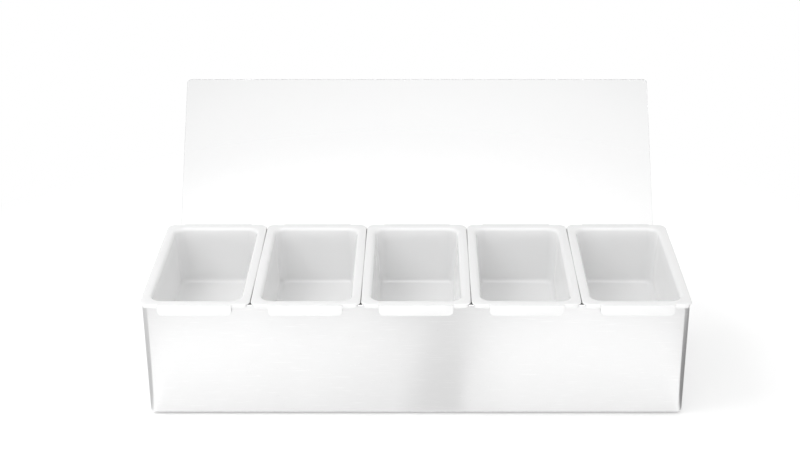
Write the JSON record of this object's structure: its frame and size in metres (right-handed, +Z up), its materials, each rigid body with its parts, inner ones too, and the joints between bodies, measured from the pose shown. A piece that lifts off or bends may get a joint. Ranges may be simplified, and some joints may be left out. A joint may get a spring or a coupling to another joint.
{
  "type": "condiment caddy",
  "caption": "Long folded steel caddy holding a row of lift-out moulded inserts under one clear flip lid, hinged at the back.",
  "frame": {"origin": "middle of the housing's underside, in the plane of its foot flange; the pads reach 1.5 mm below it", "axes": "+X to the right along the length, +Y to the back where the hinges are, +Z up"},
  "size_m": [0.483, 0.2893, 0.2199],
  "materials": {
    "housing_steel": "fine brush marks along the length",
    "floor_steel": "fine brush marks along the length",
    "hinge_steel": "pressed stainless strip",
    "pin_steel": "drawn stainless wire",
    "rivet_steel": "tumbled stainless",
    "insert_plastic": "moulded, milky white",
    "lid_plastic": "polished clear sheet",
    "pad_rubber": "matte, moulded",
    "washer_nylon": "matte, natural nylon"
  },
  "bodies": {
    "housing": {"housing_wrap": "housing_steel", "base_plate": "floor_steel", "foot_front_left": "pad_rubber", "foot_front_right": "pad_rubber", "foot_rear_left": "pad_rubber", "foot_rear_right": "pad_rubber", "wall_leaf_left": "hinge_steel", "wall_leaf_right": "hinge_steel", "hinge_pin_left": "pin_steel", "hinge_pin_right": "pin_steel", "wall_rivets": "rivet_steel"},
    "lid": {"lid": "lid_plastic", "lid_leaf_left": "hinge_steel", "lid_leaf_right": "hinge_steel", "lid_rivets": "rivet_steel", "lid_washers": "washer_nylon"},
    "insert_1": {"insert_1": "insert_plastic"},
    "insert_2": {"insert_2": "insert_plastic"},
    "insert_3": {"insert_3": "insert_plastic"},
    "insert_4": {"insert_4": "insert_plastic"},
    "insert_5": {"insert_5": "insert_plastic"}
  },
  "joints": [
    {"name": "lid_hinge", "type": "hinge", "parent": "housing", "child": "lid", "pos_m": [0, 0.0857, 0.0951], "axis": [-1, 0, 0], "range_deg": [-128, 0]},
    {"name": "insert_1_lift", "type": "slide", "parent": "housing", "child": "insert_1", "axis": [0, 0, 1], "range_m": [0, 0.08]},
    {"name": "insert_2_lift", "type": "slide", "parent": "housing", "child": "insert_2", "axis": [0, 0, 1], "range_m": [0, 0.08]},
    {"name": "insert_3_lift", "type": "slide", "parent": "housing", "child": "insert_3", "axis": [0, 0, 1], "range_m": [0, 0.08]},
    {"name": "insert_4_lift", "type": "slide", "parent": "housing", "child": "insert_4", "axis": [0, 0, 1], "range_m": [0, 0.08]},
    {"name": "insert_5_lift", "type": "slide", "parent": "housing", "child": "insert_5", "axis": [0, 0, 1], "range_m": [0, 0.08]}
  ]
}
